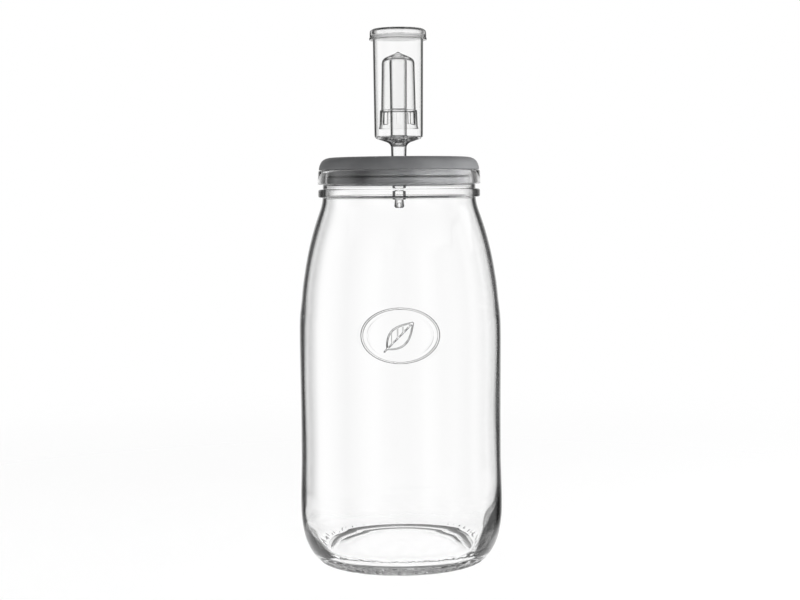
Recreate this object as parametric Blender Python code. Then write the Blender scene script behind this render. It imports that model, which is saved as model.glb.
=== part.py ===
"""Glass pickling jar with a push-in silicone lid and a clear three-piece airlock.

Lengths are in metres, +Z is up, and the jar's axis is the Z axis.
The jar stands on the plane z = 0. Every piece is a body of revolution.
"""

import math

import bmesh
import bpy
from mathutils import Matrix, Vector

# Clearances and joining
SEAT_GAP = 0.0003
WELD_DISTANCE = 0.00001
SHARP_ANGLE = math.radians(35)
FULL_TURN = 2 * math.pi
QUARTER_TURN = math.pi / 2

# Segments around the axis
JAR_SEGMENTS = 56
LID_SEGMENTS = 48
CUP_SEGMENTS = 32
BUBBLER_SEGMENTS = 40
CAP_SEGMENTS = 40
VENT_SEGMENTS = 8

# Outside of the jar, with the mouth's heights measured down from the rim
JAR_HEIGHT = 0.2670
CONTACT_INNER_RADIUS = 0.0502
CONTACT_OUTER_RADIUS = 0.0534
PUNT_HEIGHT = 0.0032
HEEL_RADIUS = 0.0691
HEEL_TOP = 0.0380
HEEL_BAND_HEIGHT = 0.0050
WAIST_RADIUS = 0.0684
WAIST_LOW = 0.0720
WAIST_HIGH = 0.1010
BODY_RADIUS = 0.0688
SHOULDER_HEIGHT = 0.0874
NECK_RADIUS = 0.05215
NECK_COLLAR = 0.0012
BEAD_RADIUS = 0.0551
BEAD_HEIGHT = 0.0057
BEAD_CORNER = 0.0016
GROOVE_RADIUS = 0.0519
GROOVE_HEIGHT = 0.0031
RIM_HEIGHT = 0.0096
RIM_LOW_RADIUS = 0.0554
RIM_TOP_RADIUS = 0.0549
RIM_CORNER = 0.0010
RIM_LOW = JAR_HEIGHT - RIM_HEIGHT
BEAD_HIGH = RIM_LOW - GROOVE_HEIGHT
BEAD_LOW = BEAD_HIGH - BEAD_HEIGHT
NECK_TOP = BEAD_LOW - NECK_COLLAR
SHOULDER_START = NECK_TOP - SHOULDER_HEIGHT

# Inside of the jar
BORE_RADIUS = 0.0492
BORE_CORNER = 0.0014
NECK_WALL = 0.0029
BODY_WALL = 0.0029
INNER_HEEL_TOP = 0.0480
FLOOR_RADIUS = 0.0490
FLOOR_HEIGHT = 0.0079
FLOOR_CROWN = 0.0012

# Silicone lid, with the plug measured from the bore
LID_THICKNESS = 0.0084
LID_RADIUS = 0.0544
LID_EDGE_WIDTH = 0.0079
LID_EDGE_HEIGHT = 0.0074
LID_CROWN = 0.0003
LID_UNDER_CORNER = 0.0006
PLUG_DEPTH = 0.0099
PLUG_NECK_DEPTH = 0.0012
GROOVE_DEPTH = 0.0032
PLUG_EDGE_WIDTH = 0.0014
PLUG_WALL = 0.0062
RECESS_DRAFT = 0.0012
RECESS_DEPTH = 0.0094
RECESS_CORNER = 0.0020
FLANGE_BOTTOM = JAR_HEIGHT + SEAT_GAP
LID_TOP = FLANGE_BOTTOM + LID_THICKNESS
PLUG_BOTTOM = FLANGE_BOTTOM - PLUG_DEPTH
RIB_RADIUS = BORE_RADIUS - SEAT_GAP
PLUG_NECK_RADIUS = BORE_RADIUS - PLUG_NECK_DEPTH
PLUG_CORE_RADIUS = BORE_RADIUS - GROOVE_DEPTH

# Airlock stem and its tip, measured down from the plug
STEM_REACH = 0.0094
STEM_LOW_RADIUS = 0.0044
STEM_TOP_RADIUS = 0.00535
STEM_END_HEIGHT = 0.0008
STEM_END_RADIUS = 0.0040
STEM_BORE_RADIUS = 0.0033
STEM_BORE_CONE = 0.0020
TIP_NECK_HEIGHT = 0.0007
TIP_NECK_RADIUS = 0.0027
TIP_SHOULDER_HEIGHT = 0.0008
TIP_SHOULDER_RADIUS = 0.0030
TIP_HEIGHT = 0.0040
TIP_RADIUS = 0.0034
TIP_EDGE_HEIGHT = 0.0013
TIP_EDGE_RADIUS = 0.0026
TIP_BORE_RADIUS = 0.0018
TIP_ROOF = 0.0004
WEB_THICKNESS = 0.0008
WEB_HEIGHT = 0.0031
WEB_INSET = 0.0005
STEM_LOW = PLUG_BOTTOM - STEM_REACH
STEM_END = STEM_LOW - STEM_END_HEIGHT
TIP_NECK = STEM_END - TIP_NECK_HEIGHT
TIP_SHOULDER = TIP_NECK - TIP_SHOULDER_HEIGHT
TIP_WIDEST = TIP_SHOULDER - TIP_HEIGHT
TIP_BOTTOM = TIP_WIDEST - TIP_EDGE_HEIGHT

# Airlock cup and centre tube, measured up from the lid
STEM_RISE = 0.0071
STEM_FLARE = 0.0031
CONE_RADIUS = 0.0087
CONE_RISE = 0.0021
CORNER_WIDTH = 0.0015
CORNER_RISE = 0.0019
CUP_LOW_RADIUS = 0.0165
CUP_TAPER = 0.0006
CUP_WALL = 0.0013
CUP_BASE_THICKNESS = 0.0012
CUP_DEPTH = 0.0715
CUP_INNER_CORNER = 0.0012
CUP_BEAD_STEP = 0.0005
CUP_BEAD_DEPTH = 0.0034
TUBE_HEIGHT = 0.0528
TUBE_TOP_RADIUS = 0.0059
TUBE_LOW_RADIUS = 0.0055
TUBE_WALL = 0.0011
TUBE_FILLET = 0.0008
STEM_TOP = LID_TOP + STEM_RISE
CONE_FOOT = STEM_TOP + STEM_FLARE
CUP_CORNER = CONE_FOOT + CONE_RISE
CUP_LOW = CUP_CORNER + CORNER_RISE
CUP_FLOOR = CUP_CORNER + CUP_BASE_THICKNESS
CUP_TOP = CUP_FLOOR + CUP_DEPTH
CUP_TOP_RADIUS = CUP_LOW_RADIUS + CUP_TAPER
CUP_BEAD_RADIUS = CUP_TOP_RADIUS + CUP_BEAD_STEP
TUBE_TOP = CUP_FLOOR + TUBE_HEIGHT

# Airlock bubbler, from the tube it rests on and the cup around it
ROOF_RISE = 0.0042
ROOF_DROP = 0.0079
BUBBLER_WALL = 0.0012
BUBBLER_TAPER = 0.0006
CEILING_RISE = 0.00275
CEILING_RADIUS = 0.0081
CEILING_FALL = 0.0010
SKIRT_CLEARANCE = 0.0052
SKIRT_GAP = 0.0017
SKIRT_HEIGHT = 0.0117
SKIRT_LIP_WIDTH = 0.0005
SKIRT_LIP_HEIGHT = 0.0020
SKIRT_TAPER = 0.0003
STEP_WIDTH = 0.0010
STEP_HEIGHT = 0.0016
WINDOW_COUNT = 8
WINDOW_WIDTH = 0.0038
WINDOW_HEIGHT = 0.0078
WINDOW_DROP = 0.0006
WINDOW_TURN = math.radians(2.5)
CEILING = TUBE_TOP + SEAT_GAP
BUBBLER_APEX = CEILING + ROOF_RISE
BUBBLER_SHOULDER = BUBBLER_APEX - ROOF_DROP
SKIRT_BOTTOM = CUP_FLOOR + SKIRT_CLEARANCE
SKIRT_LIP_TOP = SKIRT_BOTTOM + SKIRT_LIP_HEIGHT
STEP_LOW = SKIRT_BOTTOM + SKIRT_HEIGHT
STEP_HIGH = STEP_LOW + STEP_HEIGHT
SKIRT_LIP_RADIUS = CUP_LOW_RADIUS - CUP_WALL - SKIRT_GAP
SKIRT_LOW_RADIUS = SKIRT_LIP_RADIUS - SKIRT_LIP_WIDTH
SKIRT_TOP_RADIUS = SKIRT_LOW_RADIUS - SKIRT_TAPER
BUBBLER_LOW_RADIUS = SKIRT_TOP_RADIUS - STEP_WIDTH
BUBBLER_TOP_RADIUS = BUBBLER_LOW_RADIUS - BUBBLER_TAPER

# Airlock cap, from the cup's rim
CAP_THICKNESS = 0.0014
CAP_WALL = 0.0013
CAP_HEIGHT = 0.0079
CAP_EDGE_WIDTH = 0.0042
CAP_EDGE_HEIGHT = 0.0026
CAP_LIP_WIDTH = 0.00035
CAP_LIP_HEIGHT = 0.0018
CAP_LIP_CHAMFER = 0.0005
VENT_COUNT = 6
VENT_RADIUS = 0.0006
VENT_RING_RADIUS = 0.0085
CAP_CEILING = CUP_TOP + SEAT_GAP
CAP_TOP = CAP_CEILING + CAP_THICKNESS
CAP_BOTTOM = CAP_TOP - CAP_HEIGHT
CAP_INNER_RADIUS = CUP_BEAD_RADIUS + SEAT_GAP
CAP_RADIUS = CAP_INNER_RADIUS + CAP_WALL
CAP_LIP_RADIUS = CAP_RADIUS + CAP_LIP_WIDTH

# Curves as hand-chosen shares, each pair across and then up or down
HEEL_SHARES = (
    (0.16, 0.016),
    (0.27, 0.055),
    (0.44, 0.132),
    (0.60, 0.234),
    (0.73, 0.342),
    (0.83, 0.455),
    (0.90, 0.580),
    (0.96, 0.740),
    (0.99, 0.870),
)
SHOULDER_SHARES = (
    (0.980, 0.080),
    (0.950, 0.135),
    (0.900, 0.220),
    (0.845, 0.325),
    (0.770, 0.420),
    (0.690, 0.510),
    (0.595, 0.600),
    (0.485, 0.685),
    (0.370, 0.765),
    (0.260, 0.833),
    (0.165, 0.885),
    (0.090, 0.925),
    (0.035, 0.965),
)
INNER_SHOULDER_SHARES = (
    (0.950, 0.135),
    (0.845, 0.325),
    (0.690, 0.510),
    (0.485, 0.685),
    (0.260, 0.833),
    (0.090, 0.925),
)
INNER_HEEL_SHARES = (
    (0.29, 0.012),
    (0.47, 0.052),
    (0.59, 0.127),
    (0.67, 0.240),
    (0.77, 0.380),
    (0.89, 0.580),
    (0.96, 0.780),
)
PUNT_SHARES = ((0.55, 0.14), (0.86, 0.38))
ROOF_SHARES = ((0.06, 0.07), (0.80, 0.52), (0.92, 0.67), (0.98, 0.84))
CEILING_SHARES = ((0.50, 0.22), (0.85, 0.58))
CUP_CORNER_SHARES = ((0.45, 0.18), (0.85, 0.55))
QUARTER_SHARES = (0.33, 0.67)
PLUG_NECK_SHARE = 0.05
UPPER_RIB_SHARES = (0.12, 0.44)
PLUG_CORE_SHARES = (0.49, 0.54)
LOWER_RIB_SHARES = (0.60, 0.88)
LID_EDGE_SHARES = (0.14, 0.29, 0.43, 0.57, 0.71, 0.86)
LID_DOME_SHARE = 0.6

# Colours as the photograph shows them
GLASS_COLOUR = (0.93, 0.95, 0.95, 1.0)
SILICONE_COLOUR = (0.125, 0.125, 0.128, 1.0)
PLASTIC_COLOUR = (0.92, 0.93, 0.94, 1.0)


def clear_scene():
    for item in list(bpy.data.objects):
        bpy.data.objects.remove(item, do_unlink=True)


def make_material(name, colour, roughness, transmission):
    material = bpy.data.materials.new(name)
    material.use_nodes = True
    shader = material.node_tree.nodes["Principled BSDF"]
    shader.inputs["Base Color"].default_value = colour
    shader.inputs["Roughness"].default_value = roughness
    shader.inputs["Metallic"].default_value = 0.0
    shader.inputs["Transmission Weight"].default_value = transmission
    return material


def clear_glass():
    return make_material("clear_glass", GLASS_COLOUR, 0.02, 1.0)


def grey_silicone():
    return make_material("grey_silicone", SILICONE_COLOUR, 0.5, 0.0)


def clear_plastic(piece):
    return make_material("clear_plastic_" + piece, PLASTIC_COLOUR, 0.05, 1.0)


def between(low, high, share):
    return low + (high - low) * share


def along(start, end, shares):
    """Points from start to end. Each pair of shares says how far across and how far up."""
    points = []
    for across, up in shares:
        points.append((between(start[0], end[0], across), between(start[1], end[1], up)))
    return points


def quarter(start, end, upright_start, shares=QUARTER_SHARES):
    """Quarter of an ellipse from start to end. It leaves start upright, or else level."""
    pairs = []
    for share in shares:
        rising = math.sin(share * QUARTER_TURN)
        falling = 1 - math.cos(share * QUARTER_TURN)
        pairs.append((falling, rising) if upright_start else (rising, falling))
    return [start] + along(start, end, pairs) + [end]


def link_mesh(name, mesh, material=None):
    data = bpy.data.meshes.new(name)
    mesh.to_mesh(data)
    mesh.free()
    if material:
        data.materials.append(material)
    item = bpy.data.objects.new(name, data)
    bpy.context.scene.collection.objects.link(item)
    return item


def shade(item):
    item.data.shade_smooth()
    item.data.set_sharp_from_angle(angle=SHARP_ANGLE)


def turn_profile(name, profile, segments, material):
    """Spins a profile of (radius, height) points once around the Z axis.

    A profile with both ends on the axis is closed there. Any other is a loop.
    """
    mesh = bmesh.new()
    corners = [mesh.verts.new((radius, 0, height)) for radius, height in profile]
    edges = [mesh.edges.new(pair) for pair in zip(corners, corners[1:])]
    if profile[0][0] > 0:
        edges.append(mesh.edges.new((corners[-1], corners[0])))
    bmesh.ops.spin(
        mesh,
        geom=corners + edges,
        cent=(0, 0, 0),
        axis=(0, 0, 1),
        angle=FULL_TURN,
        steps=segments,
        use_merge=True,
    )
    bmesh.ops.remove_doubles(mesh, verts=mesh.verts, dist=WELD_DISTANCE)
    bmesh.ops.recalc_face_normals(mesh, faces=mesh.faces)
    item = link_mesh(name, mesh, material)
    shade(item)
    return item


def add_box(mesh, low, high, turn=0.0):
    """Adds a box between two corners, turned about the Z axis."""
    size = Vector(high) - Vector(low)
    middle = (Vector(high) + Vector(low)) / 2
    place = Matrix.Rotation(turn, 4, "Z") @ Matrix.Translation(middle) @ Matrix.Diagonal((*size, 1))
    bmesh.ops.create_cube(mesh, size=1, matrix=place)


def combine(item, other, operation):
    """Joins other to item or cuts it away, and then removes other."""
    modifier = item.modifiers.new("combine", "BOOLEAN")
    modifier.operation = operation
    modifier.solver = "EXACT"
    modifier.object = other
    graph = bpy.context.evaluated_depsgraph_get()
    result = bpy.data.meshes.new_from_object(item.evaluated_get(graph))
    item.modifiers.clear()
    item.data = result
    bpy.data.objects.remove(other, do_unlink=True)
    shade(item)


# Glass jar


def jar_punt():
    """Hollow under the base, from its middle out to the contact ring."""
    middle = (0, PUNT_HEIGHT)
    ring = (CONTACT_INNER_RADIUS, 0)
    return [middle] + along(middle, ring, PUNT_SHARES) + [ring]


def jar_body():
    """Outside of the jar from the contact ring up to the neck."""
    contact = (CONTACT_OUTER_RADIUS, 0)
    heel = (HEEL_RADIUS, HEEL_TOP)
    points = [contact] + along(contact, heel, HEEL_SHARES)
    points += [heel, (HEEL_RADIUS, HEEL_TOP + HEEL_BAND_HEIGHT)]
    points += [(WAIST_RADIUS, WAIST_LOW), (WAIST_RADIUS, WAIST_HIGH)]
    points += [(BODY_RADIUS, SHOULDER_START)]
    points += along((NECK_RADIUS, SHOULDER_START), (BODY_RADIUS, NECK_TOP), SHOULDER_SHARES)
    return points + [(NECK_RADIUS, NECK_TOP), (NECK_RADIUS, BEAD_LOW)]


def jar_bead():
    inner = BEAD_RADIUS - BEAD_CORNER
    points = quarter((inner, BEAD_LOW), (BEAD_RADIUS, BEAD_LOW + BEAD_CORNER), False)
    points += quarter((BEAD_RADIUS, BEAD_HIGH - BEAD_CORNER), (inner, BEAD_HIGH), True)
    return points + [(GROOVE_RADIUS, BEAD_HIGH), (GROOVE_RADIUS, RIM_LOW)]


def jar_rim():
    low = (RIM_LOW_RADIUS - RIM_CORNER, RIM_LOW)
    side_low = (RIM_LOW_RADIUS, RIM_LOW + RIM_CORNER)
    side_high = (RIM_TOP_RADIUS, JAR_HEIGHT - RIM_CORNER)
    high = (RIM_TOP_RADIUS - RIM_CORNER, JAR_HEIGHT)
    return quarter(low, side_low, False) + quarter(side_high, high, True)


def jar_inside():
    """Inside of the jar from the rim's top down the bore to the middle of the floor."""
    neck_radius = NECK_RADIUS - NECK_WALL
    body_radius = BODY_RADIUS - BODY_WALL
    waist_radius = WAIST_RADIUS - BODY_WALL
    floor = (FLOOR_RADIUS, FLOOR_HEIGHT)
    heel = (HEEL_RADIUS - BODY_WALL, INNER_HEEL_TOP)
    neck_foot = (neck_radius, SHOULDER_START)
    body_head = (body_radius, NECK_TOP)
    shoulder = along(neck_foot, body_head, INNER_SHOULDER_SHARES)
    heel_curve = along(floor, heel, INNER_HEEL_SHARES)
    bore_edge = (BORE_RADIUS + BORE_CORNER, JAR_HEIGHT)
    bore_top = (BORE_RADIUS, JAR_HEIGHT - BORE_CORNER)
    points = quarter(bore_edge, bore_top, False)
    points += [(neck_radius, NECK_TOP)]
    points += shoulder[::-1]
    points += [(body_radius, SHOULDER_START)]
    points += [(waist_radius, WAIST_HIGH), (waist_radius, WAIST_LOW), heel]
    points += heel_curve[::-1]
    return points + [floor, (0, FLOOR_HEIGHT + FLOOR_CROWN)]


def build_jar():
    profile = jar_punt() + jar_body() + jar_bead() + jar_rim() + jar_inside()
    return turn_profile("glass_jar", profile, JAR_SEGMENTS, clear_glass())


# Silicone lid


def stem_radius(height):
    """Outside radius of the tapered stem at a height."""
    share = (height - STEM_LOW) / (STEM_TOP - STEM_LOW)
    return between(STEM_LOW_RADIUS, STEM_TOP_RADIUS, share)


def lid_flange():
    """Flange from the top of the stem's hole out and round to its underside."""
    crown = LID_TOP + LID_CROWN
    edge_start = (LID_RADIUS - LID_EDGE_WIDTH, LID_TOP)
    edge_end = (LID_RADIUS, LID_TOP - LID_EDGE_HEIGHT)
    points = [(stem_radius(crown) + SEAT_GAP, crown)]
    points += [(edge_start[0] * LID_DOME_SHARE, crown)]
    points += quarter(edge_start, edge_end, False, LID_EDGE_SHARES)
    points += [(LID_RADIUS, FLANGE_BOTTOM + LID_UNDER_CORNER)]
    points += [(LID_RADIUS - LID_UNDER_CORNER, FLANGE_BOTTOM)]
    return points + [(PLUG_NECK_RADIUS, FLANGE_BOTTOM)]


def plug_points(radius, shares):
    """Points on the plug at one radius, at shares of the way down it."""
    return [(radius, between(FLANGE_BOTTOM, PLUG_BOTTOM, share)) for share in shares]


def lid_plug():
    """Plug with its two ribs, and the recess under it back to the stem's hole."""
    recess_radius = PLUG_CORE_RADIUS - PLUG_WALL
    roof = PLUG_BOTTOM + RECESS_DEPTH
    side = (recess_radius - RECESS_DRAFT, roof - RECESS_CORNER)
    inner = (recess_radius - RECESS_DRAFT - RECESS_CORNER, roof)
    points = plug_points(PLUG_NECK_RADIUS, [PLUG_NECK_SHARE])
    points += plug_points(RIB_RADIUS, UPPER_RIB_SHARES)
    points += plug_points(PLUG_CORE_RADIUS, PLUG_CORE_SHARES)
    points += plug_points(RIB_RADIUS, LOWER_RIB_SHARES)
    points += [(RIB_RADIUS - PLUG_EDGE_WIDTH, PLUG_BOTTOM), (recess_radius, PLUG_BOTTOM)]
    points += quarter(side, inner, True)
    return points + [(stem_radius(roof) + SEAT_GAP, roof)]


def build_lid():
    profile = lid_flange() + lid_plug()
    return turn_profile("silicone_lid", profile, LID_SEGMENTS, grey_silicone())


# Airlock cup with its centre tube and stem


def stem_outside():
    """Stem from the tip's bore up to where it meets the cup's cone."""
    points = [(TIP_BORE_RADIUS, TIP_BOTTOM), (TIP_EDGE_RADIUS, TIP_BOTTOM)]
    points += [(TIP_RADIUS, TIP_WIDEST), (TIP_SHOULDER_RADIUS, TIP_SHOULDER)]
    points += [(TIP_NECK_RADIUS, TIP_NECK), (STEM_END_RADIUS, STEM_END)]
    points += [(STEM_LOW_RADIUS, STEM_LOW)]
    return points + quarter((STEM_TOP_RADIUS, STEM_TOP), (CONE_RADIUS, CONE_FOOT), True)


def cup_outside():
    """Outside of the cup from the outer edge of its cone up to its rim."""
    corner = (CUP_LOW_RADIUS - CORNER_WIDTH, CUP_CORNER)
    wall = (CUP_LOW_RADIUS, CUP_LOW)
    bead_low = CUP_TOP - CUP_BEAD_DEPTH
    points = [corner] + along(corner, wall, CUP_CORNER_SHARES) + [wall]
    points += [(CUP_TOP_RADIUS, bead_low), (CUP_BEAD_RADIUS, bead_low + CUP_BEAD_STEP)]
    return points + [(CUP_BEAD_RADIUS, CUP_TOP)]


def cup_inside():
    """Inside of the cup from its rim down to the floor, and up the tube's outside."""
    low_radius = CUP_LOW_RADIUS - CUP_WALL
    side = (low_radius, CUP_FLOOR + CUP_INNER_CORNER)
    floor = (low_radius - CUP_INNER_CORNER, CUP_FLOOR)
    tube_foot = (TUBE_LOW_RADIUS + TUBE_FILLET, CUP_FLOOR)
    tube_side = (TUBE_LOW_RADIUS, CUP_FLOOR + TUBE_FILLET)
    points = [(CUP_TOP_RADIUS - CUP_WALL, CUP_TOP)]
    points += quarter(side, floor, True)
    return points + [tube_foot, tube_side, (TUBE_TOP_RADIUS, TUBE_TOP)]


def tube_bore():
    """Gas passage from the top of the centre tube down to the tip."""
    tip_roof = STEM_END + TIP_ROOF
    points = [(TUBE_TOP_RADIUS - TUBE_WALL, TUBE_TOP)]
    points += [(TUBE_LOW_RADIUS - TUBE_WALL, CUP_FLOOR)]
    points += [(STEM_BORE_RADIUS, tip_roof + STEM_BORE_CONE)]
    return points + [(TIP_BORE_RADIUS, tip_roof)]


def tip_web(across, deep):
    mesh = bmesh.new()
    low = TIP_BOTTOM + WEB_INSET
    add_box(mesh, (-across, -deep, low), (across, deep, low + WEB_HEIGHT))
    return link_mesh("tip_web", mesh)


def build_cup():
    """The cup, with two crossing webs inside the stem's tip."""
    profile = stem_outside() + cup_outside() + cup_inside() + tube_bore()
    cup = turn_profile("airlock_cup", profile, CUP_SEGMENTS, clear_plastic("cup"))
    reach = between(TIP_BORE_RADIUS, TIP_EDGE_RADIUS, 1 / 2)
    combine(cup, tip_web(reach, WEB_THICKNESS / 2), "UNION")
    combine(cup, tip_web(WEB_THICKNESS / 2, reach), "UNION")
    return cup


# Airlock bubbler


def bubbler_outside():
    """Outside of the bubbler from its apex down to the skirt's lip."""
    apex = (0, BUBBLER_APEX)
    shoulder = (BUBBLER_TOP_RADIUS, BUBBLER_SHOULDER)
    points = [apex] + along(apex, shoulder, ROOF_SHARES) + [shoulder]
    points += [(BUBBLER_LOW_RADIUS, STEP_HIGH), (SKIRT_TOP_RADIUS, STEP_LOW)]
    return points + [(SKIRT_LOW_RADIUS, SKIRT_LIP_TOP), (SKIRT_LIP_RADIUS, SKIRT_BOTTOM)]


def bubbler_inside():
    """Inside of the bubbler from the skirt's lip up to the point of its coned ceiling."""
    shoulder = (BUBBLER_TOP_RADIUS - BUBBLER_WALL, BUBBLER_SHOULDER)
    ceiling = (CEILING_RADIUS, CEILING - CEILING_FALL)
    half_wall = BUBBLER_WALL / 2
    points = [(SKIRT_LIP_RADIUS - BUBBLER_WALL, SKIRT_BOTTOM)]
    points += [(SKIRT_LOW_RADIUS - BUBBLER_WALL, SKIRT_LIP_TOP)]
    points += [(SKIRT_TOP_RADIUS - BUBBLER_WALL, STEP_LOW - half_wall)]
    points += [(BUBBLER_LOW_RADIUS - BUBBLER_WALL, STEP_HIGH - half_wall), shoulder]
    curve = along(ceiling, shoulder, CEILING_SHARES)
    points += curve[::-1] + [ceiling, (TUBE_TOP_RADIUS, CEILING)]
    return points + [(0, CEILING + CEILING_RISE)]


def skirt_windows():
    """Cutter for the row of windows around the skirt."""
    mesh = bmesh.new()
    high = STEP_LOW - WINDOW_DROP
    low = high - WINDOW_HEIGHT
    inner = SKIRT_TOP_RADIUS - 2 * BUBBLER_WALL
    outer = SKIRT_LIP_RADIUS + BUBBLER_WALL
    half = WINDOW_WIDTH / 2
    for number in range(WINDOW_COUNT):
        turn = WINDOW_TURN - QUARTER_TURN + FULL_TURN * number / WINDOW_COUNT
        add_box(mesh, (inner, -half, low), (outer, half, high), turn)
    return link_mesh("skirt_windows", mesh)


def build_bubbler():
    profile = bubbler_outside() + bubbler_inside()
    bubbler = turn_profile("airlock_bubbler", profile, BUBBLER_SEGMENTS, clear_plastic("bubbler"))
    combine(bubbler, skirt_windows(), "DIFFERENCE")
    return bubbler


# Airlock cap


def cap_profile():
    """Cap from the middle of its top over the edge and lip to the middle of its ceiling."""
    edge_start = (CAP_RADIUS - CAP_EDGE_WIDTH, CAP_TOP)
    edge_end = (CAP_RADIUS, CAP_TOP - CAP_EDGE_HEIGHT)
    lip_top = CAP_BOTTOM + CAP_LIP_HEIGHT
    points = [(0, CAP_TOP)] + quarter(edge_start, edge_end, False)
    points += [(CAP_RADIUS, lip_top), (CAP_LIP_RADIUS, lip_top - CAP_LIP_CHAMFER)]
    points += [(CAP_LIP_RADIUS, CAP_BOTTOM), (CAP_INNER_RADIUS, CAP_BOTTOM)]
    return points + [(CAP_INNER_RADIUS, CAP_CEILING), (0, CAP_CEILING)]


def cap_vents():
    """Cutter for the ring of vent holes through the cap's top."""
    mesh = bmesh.new()
    middle = Vector((VENT_RING_RADIUS, 0, CAP_CEILING + CAP_THICKNESS / 2))
    for number in range(VENT_COUNT):
        turn = FULL_TURN * number / VENT_COUNT
        place = Matrix.Rotation(turn, 4, "Z") @ Matrix.Translation(middle)
        bmesh.ops.create_cone(
            mesh,
            cap_ends=True,
            segments=VENT_SEGMENTS,
            radius1=VENT_RADIUS,
            radius2=VENT_RADIUS,
            depth=2 * CAP_THICKNESS,
            matrix=place,
        )
    return link_mesh("cap_vents", mesh)


def build_cap():
    cap = turn_profile("airlock_cap", cap_profile(), CAP_SEGMENTS, clear_plastic("cap"))
    combine(cap, cap_vents(), "DIFFERENCE")
    return cap


def main():
    clear_scene()
    build_jar()
    build_lid()
    build_cup()
    build_bubbler()
    build_cap()


main()
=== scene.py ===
"""Looks of the pickling jar: clear glass, grey silicone and clear plastic in a white studio.

Profiles are in millimetres as (radius, height) from the bottom of the jar. A third number
is the size of the arc that rounds the corner there.
"""

import math

import bpy
import numpy as np
from mathutils import Matrix, Vector


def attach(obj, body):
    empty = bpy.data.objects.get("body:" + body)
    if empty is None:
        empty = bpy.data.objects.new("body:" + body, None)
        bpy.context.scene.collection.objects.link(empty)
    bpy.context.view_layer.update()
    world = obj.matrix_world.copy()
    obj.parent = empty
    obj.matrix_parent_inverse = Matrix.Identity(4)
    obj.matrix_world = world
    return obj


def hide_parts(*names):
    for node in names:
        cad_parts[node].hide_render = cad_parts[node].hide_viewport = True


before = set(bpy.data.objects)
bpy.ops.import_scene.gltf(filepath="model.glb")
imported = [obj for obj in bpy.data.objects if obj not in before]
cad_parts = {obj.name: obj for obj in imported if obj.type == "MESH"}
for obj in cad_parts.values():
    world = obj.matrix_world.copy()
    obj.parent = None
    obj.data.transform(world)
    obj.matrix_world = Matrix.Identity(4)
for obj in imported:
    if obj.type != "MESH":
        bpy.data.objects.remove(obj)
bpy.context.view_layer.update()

MILLIMETRE = 0.001
FULL_TURN = 2 * math.pi
FRONT = -math.pi / 2
# Profile points nearer the axis than this lie on it
ON_AXIS = 1e-6

# Slant at which the painted shade starts on a face with no hollow wall behind it
PLAIN_START = 0.93
# How much before and after the wall's own slant the painted shade begins and ends
EDGE_LEAD = 0.015
EDGE_TAIL = 0.05
# Least climb between rows, least wall and least inner radius for a wall to count as hollow,
# and the step above a row at which its wall is measured
LEAST_CLIMB = 0.02
LEAST_WALL = 0.3
LEAST_BORE_SHARE = 0.3
JUST_ABOVE = 1e-4
# Roughness of a clear surface that is fully dull, and the tone of the painted shade on it
DULL_ROUGHNESS = 0.45
DULL_PAINTED_SHADE = 0.6

# Profiles


def slopes(places, values):
    """Slopes of a curve through the values that never overshoots them."""
    steps = np.diff(places)
    rises = np.diff(values) / steps
    result = np.zeros(len(values))
    result[0], result[-1] = rises[0], rises[-1]
    for i in range(1, len(values) - 1):
        if rises[i - 1] * rises[i] > 0:
            before, after = steps[i - 1], steps[i]
            weights = (2 * after + before, after + 2 * before)
            result[i] = sum(weights) / (weights[0] / rises[i - 1] + weights[1] / rises[i])
    return result


def curve_at(places, values, wanted):
    """Values of the curve through the given ones at the wanted places."""
    tangent = slopes(places, values)
    index = np.clip(np.searchsorted(places, wanted) - 1, 0, len(places) - 2)
    width = places[index + 1] - places[index]
    t = (wanted - places[index]) / width
    a = 2 * t**3 - 3 * t**2 + 1
    b = t**3 - 2 * t**2 + t
    c = -2 * t**3 + 3 * t**2
    d = t**3 - t**2
    low, high = values[index], values[index + 1]
    return a * low + b * width * tangent[index] + c * high + d * width * tangent[index + 1]


def smooth(points, spacing, passes=12):
    """Points along one smooth curve through the given points, evenly spaced."""
    data = np.array(points, float)
    places = np.concatenate([[0], np.cumsum(np.hypot(*np.diff(data, axis=0).T))])
    fine = np.linspace(0, places[-1], int(places[-1] / spacing * 4) + 8)
    line = np.column_stack([curve_at(places, data[:, k], fine) for k in (0, 1)])
    length = np.concatenate([[0], np.cumsum(np.hypot(*np.diff(line, axis=0).T))])
    count = max(4, int(length[-1] / spacing) + 1)
    even = np.linspace(0, length[-1], count)
    line = np.column_stack([np.interp(even, length, line[:, k]) for k in (0, 1)])
    for _ in range(passes):
        line[1:-1] += 0.25 * (line[:-2] - 2 * line[1:-1] + line[2:])
    return [tuple(p) for p in line]


def rounded(points, steps=4):
    """Points with each corner that has a third number turned into an arc of that size."""
    result = []
    for i, point in enumerate(points):
        if len(point) < 3 or point[2] <= 0 or i in (0, len(points) - 1):
            result.append(tuple(point[:2]))
            continue
        corner = np.array(point[:2])
        before = np.array(points[i - 1][:2]) - corner
        after = np.array(points[i + 1][:2]) - corner
        reach = min(point[2], 0.48 * np.hypot(*before), 0.48 * np.hypot(*after))
        start = corner + before / np.hypot(*before) * reach
        end = corner + after / np.hypot(*after) * reach
        for k in range(steps + 1):
            t = k / steps
            spot = (1 - t) ** 2 * start + 2 * t * (1 - t) * corner + t**2 * end
            result.append(tuple(spot))
    return result


# Meshes


def spread_angles(count, dense_half=0.0, dense_count=0):
    """Angles once round, with a finer share centred on the front."""
    if not dense_count:
        return FRONT + FULL_TURN * np.arange(count) / count
    fine = np.linspace(-dense_half, dense_half, dense_count, endpoint=False)
    coarse = np.linspace(dense_half, FULL_TURN - dense_half, count, endpoint=False)
    return FRONT + np.concatenate([fine, coarse])


def signed_area(rows):
    """Area inside a closed profile, negative where it runs clockwise."""
    r, z = np.array(rows).T
    return 0.5 * np.sum(r * np.roll(z, -1) - np.roll(r, -1) * z)


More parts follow.
